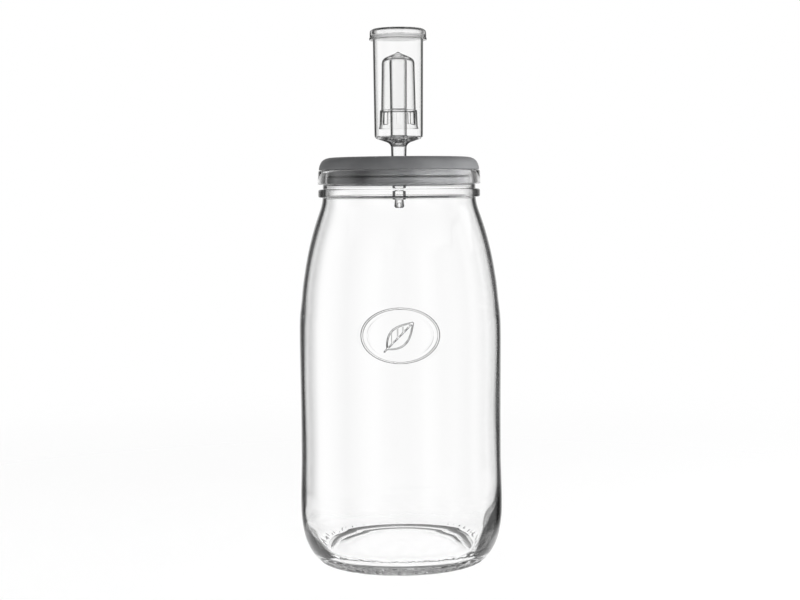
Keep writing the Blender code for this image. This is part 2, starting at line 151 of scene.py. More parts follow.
def painted_shade_starts(radius, height, plain):
    """For each point of the grid, the slant at which the wall stops being looked through and the painted shade
    starts.

    It is 1 less the cosine of the angle at which a level ray just misses the wall's
    inner face. Points on an inner face, or with nothing hollow behind them, get plain.
    """
    level = height[:, 0]
    next_level = np.roll(level, -1)
    next_radius = np.roll(radius, -1, axis=0)
    climb = next_level - np.roll(level, 1)
    widening = next_radius - np.roll(radius, 1, axis=0)
    result = np.full(radius.shape, plain)
    for i in np.flatnonzero(climb > LEAST_CLIMB):
        here = level[i] + JUST_ABOVE
        crosses = (level - here) * (next_level - here) < 0
        share = (here - level[crosses]) / (next_level[crosses] - level[crosses])
        found = radius[crosses] + (next_radius[crosses] - radius[crosses]) * share[:, None]
        inner = np.where(found < radius[i] - LEAST_WALL, found, 0.0)
        if not len(inner):
            continue
        best = inner.max(axis=0)
        good = ((inner > 0).sum(axis=0) % 2 == 1) & (best > LEAST_BORE_SHARE * radius[i])
        steep = climb[i] / np.hypot(climb[i], widening[i, good])
        result[i, good] = 1 - steep * np.sqrt(1 - (best[good] / radius[i, good]) ** 2)
    return result


def mesh_object(name, points, faces):
    """A new object with a mesh of the points and faces."""
    mesh = bpy.data.meshes.new(name)
    mesh.from_pydata(points, [], faces)
    item = bpy.data.objects.new(name, mesh)
    bpy.context.scene.collection.objects.link(item)
    return item


def point_values(mesh, name, values):
    """Writes a number for each vertex, which the materials read by its name."""
    mesh.attributes.new(name, "FLOAT", "POINT").data.foreach_set("value", values)


def turned(name, rows, angles, shape=None, sooner=None, frost_and_shade=None, plain=PLAIN_START):
    """Mesh of a profile turned round the Z axis.

    shape gives new radii to the points of the grid, sooner says how much sooner the painted shade
    starts there, and the last one how dull the surface is, which roughens it and darkens it with painted shade.
    """
    rows = list(rows)
    if signed_area(rows) < 0:
        rows.reverse()
    on_axis = rows[0][0] < ON_AXIS
    rings = np.array(rows[1:-1] if on_axis else rows)
    radius = np.repeat(rings[:, :1], len(angles), axis=1)
    height = np.repeat(rings[:, 1:], len(angles), axis=1)
    turn = np.repeat(angles[None, :], len(rings), axis=0)
    if shape:
        radius = shape(radius, height, turn)
    starts = painted_shade_starts(radius, height, plain)
    if sooner:
        starts = starts - sooner(radius, height, turn)
    dull = frost_and_shade(radius, height, turn) if frost_and_shade else np.zeros_like(radius)
    grid = np.stack([radius * np.cos(turn), radius * np.sin(turn), height], axis=2)
    points = (grid.reshape(-1, 3) * MILLIMETRE).tolist()
    starts, dull = starts.ravel().tolist(), dull.ravel().tolist()
    index = np.arange(radius.size).reshape(radius.shape)
    upper = index[1:] if on_axis else np.roll(index, -1, axis=0)
    lower = index[:-1] if on_axis else index
    right_low, right_up = np.roll(lower, -1, axis=1), np.roll(upper, -1, axis=1)
    faces = np.stack([lower, right_low, right_up, upper], axis=2).reshape(-1, 4).tolist()
    if on_axis:
        first, last = len(points), len(points) + 1
        points += [(0, 0, rows[end][1] * MILLIMETRE) for end in (0, -1)]
        low_ring, top_ring = index[0], index[-1]
        faces += [(first, int(b), int(a)) for a, b in zip(low_ring, np.roll(low_ring, -1))]
        faces += [(int(a), int(b), last) for a, b in zip(top_ring, np.roll(top_ring, -1))]
        starts += [plain, plain]
        dull += [0.0, 0.0]
    item = mesh_object(name, points, faces)
    item.data.update()
    # Painted shade: the slant past which a clear surface's tone darkens, and how dull it is, which darkens it too
    point_values(item.data, "painted_shade_start", starts)
    point_values(item.data, "frost_and_shade", dull)
    return item


def shade(item, degrees=40):
    """Smooth shading with sharp edges where faces meet at more than the given angle."""
    item.data.shade_smooth()
    item.data.set_sharp_from_angle(angle=math.radians(degrees))


def box_object(name, low, high, turn):
    """Box between two corners, turned about the Z axis."""
    corners = [(x, y, z) for x in (low[0], high[0]) for y in (low[1], high[1]) for z in (low[2], high[2])]
    faces = [(0, 1, 3, 2), (4, 6, 7, 5), (0, 4, 5, 1), (2, 3, 7, 6), (0, 2, 6, 4), (1, 5, 7, 3)]
    item = mesh_object(name, [[c * MILLIMETRE for c in p] for p in corners], faces)
    item.data.transform(Matrix.Rotation(turn, 4, "Z"))
    return item


def joined_mesh(name, items):
    """One object with the meshes of all the items, which are removed."""
    points, faces = [], []
    for item in items:
        start = len(points)
        points += [tuple(v.co) for v in item.data.vertices]
        faces += [tuple(start + i for i in p.vertices) for p in item.data.polygons]
        bpy.data.objects.remove(item, do_unlink=True)
    return mesh_object(name, points, faces)


def combine(item, other, operation):
    """Exact Boolean of two objects, kept in the first one."""
    modifier = item.modifiers.new("combine", "BOOLEAN")
    modifier.operation = operation
    modifier.solver = "EXACT"
    modifier.object = other
    graph = bpy.context.evaluated_depsgraph_get()
    result = bpy.data.meshes.new_from_object(item.evaluated_get(graph))
    item.modifiers.clear()
    item.data = result
    bpy.data.objects.remove(other, do_unlink=True)


# Materials


def new_material(name):
    """A material with its node tree and shader."""
    material = bpy.data.materials.new(name)
    material.use_nodes = True
    return material, material.node_tree, material.node_tree.nodes["Principled BSDF"]


def node(tree, kind, **values):
    """A node with its inputs or settings given by name."""
    made = tree.nodes.new(kind)
    for key, value in values.items():
        if key in made.inputs:
            made.inputs[key].default_value = value
        else:
            setattr(made, key, value)
    return made


def math_node(tree, operation, first, second=None):
    """A Math node fed by sockets or plain numbers."""
    made = node(tree, "ShaderNodeMath", operation=operation)
    for socket, value in zip(made.inputs, (first, second)):
        if isinstance(value, bpy.types.NodeSocket):
            tree.links.new(value, socket)
        elif value is not None:
            socket.default_value = value
    return made.outputs[0]


def blend_range(tree, value, low, high, start, end):
    """A smooth step of a value between two numbers."""
    made = node(tree, "ShaderNodeMapRange", interpolation_type="SMOOTHSTEP")
    made.inputs["From Min"].default_value = low
    made.inputs["From Max"].default_value = high
    made.inputs["To Min"].default_value = start
    made.inputs["To Max"].default_value = end
    tree.links.new(value, made.inputs["Value"])
    return made.outputs["Result"]


def mix_shader(tree, factor, first, second):
    """A Mix Shader node between two shaders."""
    made = tree.nodes.new("ShaderNodeMixShader")
    for socket, source in zip(made.inputs, (factor, first, second)):
        tree.links.new(source, socket)
    return made.outputs[0]


def mix_value(tree, factor, first, second):
    """A Mix node between two numbers or sockets."""
    made = node(tree, "ShaderNodeMix", data_type="FLOAT")
    tree.links.new(factor, made.inputs[0])
    for socket, value in ((made.inputs[2], first), (made.inputs[3], second)):
        if isinstance(value, bpy.types.NodeSocket):
            tree.links.new(value, socket)
        else:
            socket.default_value = value
    return made.outputs[0]


def ramp(tree, stops):
    """A Color Ramp node with the given places and colours."""
    made = tree.nodes.new("ShaderNodeValToRGB")
    elements = made.color_ramp.elements
    while len(elements) < len(stops):
        elements.new(0.5)
    for element, (place, colour) in zip(elements, stops):
        element.position = place
        element.color = (*colour, 1.0)
    return made


def clear_material(name, index, absorption, dark, wave_scale, wave_depth, gloss=0.5, tint=1.0):
    """Clear glass or plastic, its tone painted dark where a ray slants too far to look through its wall.

    dark is the tone of that painted shade and tint the tone elsewhere. gloss scales the mirror image.
    """
    material, tree, shader = new_material(name)
    shader.inputs["Roughness"].default_value = 0.0
    shader.inputs["IOR"].default_value = index
    shader.inputs["Transmission Weight"].default_value = 1.0
    shader.inputs["Specular Tint"].default_value = (gloss, gloss, gloss, 1.0)
    # Painted shade: the base colour falls from tint to dark once the surface slants past its start
    facing = node(tree, "ShaderNodeLayerWeight", Blend=0.5)
    start = node(tree, "ShaderNodeAttribute", attribute_name="painted_shade_start").outputs["Fac"]
    painted_edge_shade = node(tree, "ShaderNodeMapRange", interpolation_type="SMOOTHSTEP")
    painted_edge_shade.inputs["To Min"].default_value = tint
    painted_edge_shade.inputs["To Max"].default_value = dark
    tree.links.new(facing.outputs["Facing"], painted_edge_shade.inputs["Value"])
    tree.links.new(math_node(tree, "SUBTRACT", start, EDGE_LEAD), painted_edge_shade.inputs["From Min"])
    tree.links.new(math_node(tree, "ADD", start, EDGE_TAIL), painted_edge_shade.inputs["From Max"])
    # Painted shade: dull places get a darker tone as well as more roughness
    frost_and_shade = node(tree, "ShaderNodeAttribute", attribute_name="frost_and_shade").outputs["Fac"]
    dull_painted_shade = node(tree, "ShaderNodeMapRange")
    dull_painted_shade.inputs["To Min"].default_value = 1.0
    dull_painted_shade.inputs["To Max"].default_value = DULL_PAINTED_SHADE
    tree.links.new(frost_and_shade, dull_painted_shade.inputs["Value"])
    tone = math_node(tree, "MULTIPLY", painted_edge_shade.outputs["Result"], dull_painted_shade.outputs["Result"])
    tree.links.new(tone, shader.inputs["Base Color"])
    tree.links.new(math_node(tree, "MULTIPLY", frost_and_shade, DULL_ROUGHNESS), shader.inputs["Roughness"])
    place = tree.nodes.new("ShaderNodeTexCoord")
    wave = node(tree, "ShaderNodeTexNoise", Scale=wave_scale, Detail=2.0)
    bump = node(tree, "ShaderNodeBump", Strength=1.0, Distance=wave_depth)
    tree.links.new(place.outputs["Object"], wave.inputs["Vector"])
    tree.links.new(wave.outputs["Fac"], bump.inputs["Height"])
    tree.links.new(bump.outputs["Normal"], shader.inputs["Normal"])
    if absorption:
        inside = node(tree, "ShaderNodeVolumeAbsorption", Density=absorption)
        inside.inputs["Color"].default_value = (0.50, 0.52, 0.51, 1.0)
        tree.links.new(inside.outputs["Volume"], tree.nodes["Material Output"].inputs["Volume"])
    return material


def silicone_material():
    """Matt grey silicone with a fine moulded grain and a little dust in the tone."""
    material, tree, shader = new_material("moulded_silicone")
    shader.inputs["IOR"].default_value = 1.41
    place = tree.nodes.new("ShaderNodeTexCoord")
    cloud = node(tree, "ShaderNodeTexNoise", Scale=55.0, Detail=4.0, Roughness=0.6)
    tones = ramp(tree, [(0.35, (0.112, 0.114, 0.117)), (0.65, (0.138, 0.140, 0.143))])
    finish = node(tree, "ShaderNodeMapRange")
    finish.inputs["To Min"].default_value = 0.42
    finish.inputs["To Max"].default_value = 0.58
    grain = node(tree, "ShaderNodeTexNoise", Scale=2600.0, Detail=2.0)
    bump = node(tree, "ShaderNodeBump", Strength=0.35, Distance=0.00004)
    for texture in (cloud, grain):
        tree.links.new(place.outputs["Object"], texture.inputs["Vector"])
    tree.links.new(cloud.outputs["Fac"], tones.inputs["Fac"])
    tree.links.new(cloud.outputs["Fac"], finish.inputs["Value"])
    tree.links.new(grain.outputs["Fac"], bump.inputs["Height"])
    tree.links.new(tones.outputs["Color"], shader.inputs["Base Color"])
    tree.links.new(finish.outputs["Result"], shader.inputs["Roughness"])
    tree.links.new(bump.outputs["Normal"], shader.inputs["Normal"])
    return material


def dress(item, material, body, cad_node):
    """Gives a piece its material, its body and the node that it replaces."""
    item.data.materials.clear()
    item.data.materials.append(material)
    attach(item, body)
    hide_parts(cad_node)


# Glass jar

PUNT = [(0, 3.2), (4, 3.2), (14, 3.1), (27.6, 2.75), (38, 2.2), (44, 1.6), (48.5, 0.75), (50.2, 0.05)]
HEEL = [
    (53.4, 0.0), (55.91, 0.61), (57.64, 2.09), (60.31, 5.02), (62.82, 8.89), (64.86, 13.0),
    (66.43, 17.29), (67.53, 22.04), (68.47, 28.12), (68.94, 33.06), (69.08, 38.0), (69.08, 43.0),
    (68.75, 57.0), (68.4, 72.0), (68.4, 101.0), (68.62, 130.0), (68.78, 152.0), (68.72, 160.0),
    (68.47, 167.0), (67.97, 171.8), (67.14, 179.2), (66.22, 188.4), (64.97, 196.7), (63.64, 204.6),
    (62.06, 212.4), (60.23, 219.9), (58.31, 226.9), (56.48, 232.8), (54.90, 237.3), (53.65, 240.8),
    (52.73, 244.3), (52.20, 247.4),
]
MOUTH = [
    (52.15, 248.6, 0.5), (55.1, 248.6, 1.6), (55.1, 254.3, 1.6), (51.9, 254.3, 0.7),
    (51.9, 257.4, 0.7), (55.4, 257.4, 1.1), (54.9, 267.0, 1.1), (49.2, 267.0, 1.5), (49.35, 260.0),
]
INSIDE = [
    (49.3, 258.6), (49.2, 255.6), (49.1, 252.6), (49.05, 249.6), (49.1, 247.4), (49.55, 244.3),
    (50.5, 240.8), (51.8, 237.3), (53.4, 232.8), (55.3, 226.9), (57.3, 219.9), (59.2, 212.4),
    (60.9, 204.6), (62.3, 196.7), (63.6, 188.4), (65.25, 171.8), (65.95, 156.0), (65.8, 130.0),
    (65.5, 101.0), (65.5, 72.0), (66.0, 52.0), (65.6, 39.0), (64.4, 31.0), (62.1, 23.0),
    (60.6, 17.5), (59.2, 13.0), (57.0, 10.0), (54.0, 8.4), (49.0, 7.9), (43.5, 7.9),
]
# Heights between which the outside keeps all its rows. Elsewhere one in KEPT_ROW stays.
FINE_ZONES = ((0, 32), (140, 180), (238, 268))
KEPT_ROW = 6
OUTSIDE_SPACING = 0.42
INSIDE_SPACING = 2.1
FLOOR_SPACING = 2.5

# Oval with a leaf on the front
BODY_RADIUS = 68.8
MEDALLION_HEIGHT = 160.0
MEDALLION_HALF = (25.5, 17.5)
OVAL_WIDTH = 0.9
INNER_OVAL_WIDTH = 0.7
INNER_OVAL_SHARE = 0.84
INNER_OVAL_RELIEF = 0.6
GROUND_SHARE = 1.16
GROUND_FADE = 0.1
LEAF_HALF = 12.0
LEAF_WIDTH = 6.0
LEAF_TAPER = 0.85
LEAF_LINE = 0.8
MIDRIB_LINE = 0.7
MIDRIB_INSET = 1
STALK = 3
VEIN_SPACING = 5.0
VEIN_START = 20
VEIN_RELIEF = 0.7
RELIEF = 0.55
GROUND_DEPTH = 0.35
# Heights between which the relief lies, and how far inside BODY_RADIUS its face still is
FRONT_ZONE = (100, 200)
WALL_DEPTH = 2.5

# Blown wall: how much thinner the left heel and thicker the right heel is, the height and
# spread of the uneven heel and of its low part, and where the heel and the waves fade
THIN_LEFT = 1.6
THICK_RIGHT = 0.4
HEEL_POWER = 7
UNEVEN_HEEL = (25, 12)
LOW_HEEL = (14, 9)
HEEL_START = (9, 5)
WAVE_FADE = 30
WAVE_RADIUS = (30, 20)
# Waves in the wall and marks round the foot, each as (depth, count round the jar, turn per
# millimetre of height, start, wobble, count of the wobble)
SWAY = ((0.05, 3, 0.045, 0, 0, 0), (0.03, 5, -0.08, 1.3, 0, 0))
RIPPLE = ((0.12, 11, 0.25, 0, 0, 0), (0.09, 23, -0.4, 0.7, 0, 0))
FOOT_MARKS = ((0.22, 61, 0, 0, 2, 5), (0.18, 29, 1, 1.1, 0, 0), (0.2, 97, 1.3, 0, 3, 3))
MARKS_MEAN = 0.5
# The inner face starts RIM_ROWS rows after the first one above RIM_HEIGHT. It is uneven
# between the heights INSIDE_FLOOR and NECK_HEIGHT.
RIM_HEIGHT = 266.9
RIM_ROWS = 6
NECK_HEIGHT = 246
INSIDE_FLOOR = 6

# Where the marks round the foot lie
FOOT_DEPTH = 2.0
FOOT_MIDDLE = 2.4
FOOT_SPREAD = 1.9
FOOT_RADIUS = 53.5
FOOT_FADE = 1.5

# How much sooner or later the painted shade darkens the wall, where that is, and the slope of
# the relief at which its painted shade is fully dark, measured over at least LEAST_STEP of height
SHADE_POWER = 5
RIGHT_HEEL = (24, 16)
BASE_TOP = 11
BASE_FADE = 3
FLANK_SLOPE = 0.6
LEAST_STEP = 0.2
HEEL_SOONER = 0.34
LEFT_SHARE = 0.8
BEAD_ZONE = (257.5, 266.6)
BEAD_LATER = 0.4
BASE_LATER = 0.45
FLANK_SOONER = 0.82
FLOOR = [(43.5, 7.9), (36.0, 8.1), (24.0, 8.6), (12.0, 9.0), (4.0, 9.1), (0.0, 9.1)]


def thinned(points, zones):
    """One in KEPT_ROW of a close row of points, but all of those within the zones of height."""
    kept = []
    for i, point in enumerate(points):
        close = any(low < point[1] < high for low, high in zones)
        if close or i % KEPT_ROW == 0 or i == len(points) - 1:
            kept.append(point)
    return kept


def jar_rows():
    """Profile of the glass from the punt over the outside, mouth and inside to the floor."""
    outer = thinned(smooth(HEEL, OUTSIDE_SPACING), FINE_ZONES)
    inner = smooth(INSIDE, INSIDE_SPACING)
    mouth = rounded([outer[-1]] + MOUTH + [inner[0]])
    contact = rounded([(50.2, 0.05), (50.5, 0, 0.2), (53.3, 0, 0.2), (53.6, 0.02)])
    rows = smooth(PUNT, FLOOR_SPACING)[:-1] + contact[1:-1]
    return rows + outer + mouth[1:-1] + inner + smooth(FLOOR, FLOOR_SPACING)[1:]


def eased(share):
    """A smooth step from 0 to 1."""
    share = np.clip(share, 0, 1)
    return share * share * (3 - 2 * share)


def ridge(distance, width):
    """Rounded ridge of height 1 along the line where distance is zero."""
    return eased(1 - np.abs(distance) / width)


def leaf(across, up):
    """Relief of one plain leaf with its midrib and side veins, 1 high."""
    along = (across + up) / math.sqrt(2)
    aside = (up - across) / math.sqrt(2)
    share = np.clip((along + LEAF_HALF) / (2 * LEAF_HALF), 0, 1)
    width = LEAF_WIDTH * np.sin(math.pi * share**LEAF_TAPER)
    inside = np.abs(along) < LEAF_HALF
    outline = ridge(np.abs(aside) - width, LEAF_LINE) * inside
    in_length = (along > -LEAF_HALF - STALK) * (along < LEAF_HALF - MIDRIB_INSET)
    midrib = ridge(aside, MIDRIB_LINE) * in_length
    slant = np.mod(along - np.abs(aside) + VEIN_START, VEIN_SPACING) - VEIN_SPACING / 2
    veins = VEIN_RELIEF * ridge(slant, LEAF_LINE) * (np.abs(aside) < width - LEAF_LINE) * inside
    return np.maximum(np.maximum(outline, midrib), veins)


def medallion(radius, height, turn):
    """Height of the embossed oval with its leaf on the front of the jar."""
    across = BODY_RADIUS * (np.mod(turn - FRONT + math.pi, FULL_TURN) - math.pi)
    up = height - MEDALLION_HEIGHT
    reach = np.hypot(across / MEDALLION_HALF[0], up / MEDALLION_HALF[1])
    oval = ridge((reach - 1) * MEDALLION_HALF[1], OVAL_WIDTH)
    inner_oval = ridge((reach - INNER_OVAL_SHARE) * MEDALLION_HALF[1], INNER_OVAL_WIDTH)
    lines = np.maximum(oval, INNER_OVAL_RELIEF * inner_oval)
    ground = eased((GROUND_SHARE - reach) / GROUND_FADE)
    relief = RELIEF * np.maximum(lines, leaf(across, up)) - GROUND_DEPTH * ground
    return relief * (height > FRONT_ZONE[0]) * (height < FRONT_ZONE[1])


def hump(height, middle, spread):
    """A rounded bump of height 1 about the middle."""
    return np.exp(-(((height - middle) / spread) ** 2))


def sides(turn, power):
    """How much a direction points to the right and to the left."""
    return ((1 + np.cos(turn)) / 2) ** power, ((1 - np.cos(turn)) / 2) ** power


def rise(value, start, width):
    """A straight rise from 0 to 1 over the width after the start."""
    return np.clip((value - start) / width, 0, 1)


def waves(terms, turn, height, total=0.0):
    """The total with a row of waves round the jar added to it."""
    for depth, count, climb, start, wobble, wobble_count in terms:
        swing = wobble * np.sin(wobble_count * turn)
        total = total + depth * np.sin(count * turn + swing + climb * height + start)
    return total


def shape_jar(radius, height, turn):
    """Makes the blown heel thick on the right and thin on the left, and its wall uneven."""
    inner = np.zeros_like(radius)
    inner[np.argmax(height[:, 0] > RIM_HEIGHT) + RIM_ROWS :] = 1
    outer = 1 - inner
    inner *= (height < NECK_HEIGHT) & (height > INSIDE_FLOOR)
    right, left = sides(turn, HEEL_POWER)
    heel = hump(height, *UNEVEN_HEEL) * rise(height, *HEEL_START)
    lean = THIN_LEFT * left - THICK_RIGHT * right
    uneven = waves(SWAY, turn, height) + hump(height, *LOW_HEEL) * waves(RIPPLE, turn, height)
    fade = np.clip((NECK_HEIGHT - height) / WAVE_FADE, 0, 1) * rise(radius, *WAVE_RADIUS)
    foot = hump(height, FOOT_MIDDLE, FOOT_SPREAD) * rise(radius, FOOT_RADIUS, FOOT_FADE)
    marks = waves(FOOT_MARKS, turn, height, MARKS_MEAN)
    radius = radius + inner * (heel * lean + fade * uneven)
    radius = radius - FOOT_DEPTH * outer * foot * marks
    return radius + outer * medallion(radius, height, turn)


def jar_painted_shade(radius, height, turn):
    """How much sooner the painted shade darkens the wall where the heel is thick or the relief
    steep, and how much later at the bead and the base."""
    right, left = sides(turn, SHADE_POWER)
    heel = hump(height, *RIGHT_HEEL) * right + LEFT_SHARE * hump(height, *LOW_HEEL) * left
    bead = (height > BEAD_ZONE[0]) & (height < BEAD_ZONE[1])
    relief = medallion(radius, height, turn) * (radius > BODY_RADIUS - WALL_DEPTH)
    climb = np.gradient(relief, axis=0) / np.maximum(np.abs(np.gradient(height, axis=0)), LEAST_STEP)
    cross = np.gradient(relief, axis=1) / (BODY_RADIUS * np.abs(np.gradient(turn, axis=1)))
    flank_shade = np.clip(np.hypot(climb, cross) / FLANK_SLOPE, 0, 1)
    base = np.clip((BASE_TOP - height) / BASE_FADE, 0, 1) * (1 - np.maximum(right, left))
    return HEEL_SOONER * heel - BEAD_LATER * bead - BASE_LATER * base + FLANK_SOONER * flank_shade


# The glass's painted shade at steep slants falls to a tone of 0.02
glass = clear_material("jar_glass", index=1.51, absorption=1.2, dark=0.02, wave_scale=18.0, wave_depth=0.00002)
jar = turned("jar_glass", jar_rows(), spread_angles(250, dense_half=0.42, dense_count=170), shape_jar, jar_painted_shade)
shade(jar)
dress(jar, glass, "jar", "glass_jar")

# Silicone lid

LID_TOP = [
    (9.0, 276.0), (24.0, 276.0), (36.0, 275.95), (46.5, 275.7), (48.4, 275.55), (50.1, 275.1),
    (51.6, 274.3), (52.8, 273.2), (53.6, 271.8), (54.1, 270.2), (54.4, 268.3),
]
LID_UNDER = [
    (54.4, 267.3, 0.6), (48.0, 267.3, 0.3), (48.3, 266.8, 0.3), (49.05, 266.2, 0.4),
    (49.1, 263.0, 0.4), (47.9, 262.5, 0.3), (46.0, 262.4, 0.3), (46.0, 262.0, 0.3),
    (47.9, 261.9, 0.3), (49.1, 261.4, 0.4), (49.0, 258.6, 0.5), (47.6, 257.4, 0.6),
    (34.8, 257.4, 0.4), (33.6, 264.8, 0.6), (31.6, 266.8, 0.8), (5.3, 266.8),
]


def lid_rows():
    top = smooth(LID_TOP, 0.9)
    hole = [(5.46, 275.4), (5.7, 275.85, 0.3), (6.3, 276.0)]
    return rounded(hole + [top[0]]) + top[1:] + rounded([top[-1]] + LID_UNDER)[1:]


lid = turned("lid_silicone", lid_rows(), spread_angles(144))
shade(lid)
dress(lid, silicone_material(), "lid", "silicone_lid")

# Airlock cup

CUP_OUTSIDE = [
    (1.8, 240.4), (2.6, 240.4, 0.4), (3.4, 241.7, 0.5), (3.0, 245.7, 0.4), (2.7, 246.5, 0.3),
    (4.0, 247.2, 0.3), (4.4, 248.0, 0.3),
]
STEM_FLARE = [(5.35, 282.8), (5.5, 283.5), (6.0, 284.4), (7.0, 285.3), (8.7, 285.95)]
CUP_WALLS = [
    (15.0, 288.0, 0.6), (16.2, 288.9, 0.8), (16.5, 290.6, 0.8), (17.1, 357.2, 0.3), (17.55, 357.9, 0.4),
    (17.6, 360.7, 1.3), (15.8, 360.7, 0.9), (15.2, 289.2, 1.2), (6.3, 289.2, 0.8), (5.5, 290.3, 0.8),
    (5.9, 342.0, 0.5), (4.8, 342.0, 0.5), (4.4, 289.2, 0.4), (3.3, 249.6, 0.4), (1.8, 247.6),
]


def cup_rows():
    flare = smooth(STEM_FLARE, 0.5, 4)
    return rounded(CUP_OUTSIDE + [flare[0]]) + flare[1:] + rounded([flare[-1]] + CUP_WALLS)[1:]


# The plastic's painted shade at steep slants falls to a tone of 0.03
plastic = clear_material(
    "clear_plastic", index=1.58, absorption=0.0, dark=0.03, wave_scale=40.0, wave_depth=0.00001, gloss=0.2, tint=0.985
)
cup = turned("airlock_cup_clear", cup_rows(), spread_angles(112))
web = [
    box_object("web_a", (-2.2, -0.4, 240.9), (2.2, 0.4, 244.0), 0),
    box_object("web_b", (-0.4, -2.2, 240.9), (0.4, 2.2, 244.0), 0),
]
for part in web:
    combine(cup, part, "UNION")
shade(cup)
dress(cup, plastic, "airlock", "airlock_cup")

# Airlock bubbler

ROOF = [(0, 346.5), (0.6, 346.15), (4.0, 344.65), (8.6, 342.6), (10.2, 341.3), (10.95, 339.9), (11.1, 338.6)]
SKIRT = [
    (11.75, 307.4, 0.25), (12.65, 306.9, 0.35), (13.0, 296.4, 0.3), (13.5, 294.4, 0.2), (12.3, 294.4, 0.2),
    (11.9, 296.4, 0.3), (11.6, 305.6, 0.3), (10.65, 306.1, 0.25),
]
CEILING = [(9.95, 338.6), (9.7, 339.8), (8.6, 340.95), (6.0, 342.25), (3.0, 343.65), (0.5, 344.8)]


def bubbler_rows():
    roof = smooth(ROOF, 0.6, 3)
    ceiling = smooth(CEILING, 0.6, 2)
    return roof + rounded([roof[-1]] + SKIRT + [ceiling[0]])[1:-1] + ceiling + [(0, 344.9)]


bubbler = turned("bubbler_clear", bubbler_rows(), spread_angles(120))
WINDOW_COUNT = 8
WINDOW_LOW = (10.3, -1.9, 297.7)
WINDOW_HIGH = (14.7, 1.9, 305.5)
WINDOW_TURN = FRONT + math.radians(2.5)
cutters = [
    box_object(f"window_{k}", WINDOW_LOW, WINDOW_HIGH, WINDOW_TURN + FULL_TURN * k / WINDOW_COUNT)
    for k in range(WINDOW_COUNT)
]
combine(bubbler, joined_mesh("windows", cutters), "DIFFERENCE")
shade(bubbler)
dress(bubbler, plastic, "bubbler", "airlock_bubbler")

# Airlock cap

CAP = [
    (0, 362.4), (3.0, 362.4), (12.6, 362.4), (14.6, 362.4, 0.5), (17.4, 362.0, 1.2),
    (18.9, 360.9, 1.2), (19.2, 359.4, 0.8), (19.2, 356.3, 0.2),
    (19.55, 355.8, 0.2), (19.55, 354.5, 0.2), (18.4, 354.5, 0.2), (18.35, 355.0, 0.2), (17.75, 355.4, 0.3),
    (17.75, 357.2, 0.3), (18.3, 357.8, 0.3), (18.3, 360.3, 0.5), (17.6, 361.0, 0.6),
    (12.6, 361.0), (3.0, 361.0), (0, 361.0),
]
SNAP_HEIGHT = 356.4
SNAP_SPREAD = 1.3
SNAP_RADIUS = 18.5
TOP_HEIGHT = 360
TOP_DULLNESS = 0.12


def cap_frost_and_shade(radius, height, turn):
    """The snap ring inside the cap's skirt is moulded dull, and the top a little; dullness also darkens their tone as
    painted shade.
    """
    ring = np.exp(-(((height - SNAP_HEIGHT) / SNAP_SPREAD) ** 4)) * (radius < SNAP_RADIUS)
    return np.maximum(ring, TOP_DULLNESS * (height > TOP_HEIGHT))


cap = turned("cap_clear", rounded(CAP), spread_angles(120), frost_and_shade=cap_frost_and_shade)
VENT_COUNT = 6
VENT_CIRCLE = 8.5
VENT_ROWS = [(0, 360.2), (0.6, 360.2), (0.6, 363.2), (0, 363.2)]
vents = []
for k in range(VENT_COUNT):
    vent = turned(f"vent_{k}", VENT_ROWS, spread_angles(16))
    outwards = Matrix.Translation((VENT_CIRCLE * MILLIMETRE, 0, 0))
    vent.data.transform(Matrix.Rotation(FULL_TURN * k / VENT_COUNT, 4, "Z") @ outwards)
    vents.append(vent)
combine(cap, joined_mesh("vents", vents), "DIFFERENCE")
shade(cap)
dress(cap, plastic, "cap", "airlock_cap")

# White studio

# White windows: direction in degrees, a limit of height, and 1 for windows above it, -1 for
# windows below it and 0 for windows without a limit
WINDOWS = ((90, -0.42, 1), (180, -0.42, 1), (135, -0.24, -1), (-45, 0, 0))
LIMIT_BLUR = 0.03
# Brightness at each number of degrees beside a window's middle
GLOW = ((0, 1.0), (8, 1.0), (14, 0.95), (19, 0.72), (24, 0.28), (32, 0.07), (38, 0.06), (47, 0.6), (58, 1.0))
# Light on the dull pieces from left to right, in the open and through clear pieces:
# the two places across, and the strength at each
AMBIENT = (0.0, 0.9, 0.45, 1.0)
BEHIND = (0.1, 0.6, 0.05, 7.0)
# Where the pattern turns dark above and white below: two heights, and the value at each
HIGH = (0.30, 0.62, 1.0, 0.12)
LOW = (-0.50, -0.40, 1.0, 0.0)


def card_pattern(tree, parts):
    """White windows between dark cards, dark high up and white low down."""
    across = math_node(tree, "MULTIPLY", parts.outputs["X"], parts.outputs["X"])
    along = math_node(tree, "MULTIPLY", parts.outputs["Y"], parts.outputs["Y"])
    level = math_node(tree, "SQRT", math_node(tree, "ADD", across, along))
    nearest = math.pi
    for degrees, limit, side in WINDOWS:
        turn = math.radians(degrees)
        x = math_node(tree, "MULTIPLY", parts.outputs["X"], math.cos(turn))
        y = math_node(tree, "MULTIPLY", parts.outputs["Y"], math.sin(turn))
        cosine = math_node(tree, "DIVIDE", math_node(tree, "ADD", x, y), level)
        angle = math_node(tree, "ARCCOSINE", math_node(tree, "MINIMUM", cosine, 1.0))
        if side:
            blur = LIMIT_BLUR * side
            outside = blend_range(tree, parts.outputs["Z"], limit - blur, limit + blur, 1.0, 0.0)
            angle = math_node(tree, "ADD", angle, outside)
        nearest = math_node(tree, "MINIMUM", angle, nearest)
    share = math_node(tree, "DIVIDE", nearest, math.pi / 2)
    glow = ramp(tree, [(degrees / 90, (value, value, value)) for degrees, value in GLOW])
    tree.links.new(share, glow.inputs["Fac"])
    high = blend_range(tree, parts.outputs["Z"], *HIGH)
    low = blend_range(tree, parts.outputs["Z"], *LOW)
    return math_node(tree, "MAXIMUM", math_node(tree, "MULTIPLY", glow.outputs["Color"], high), low)


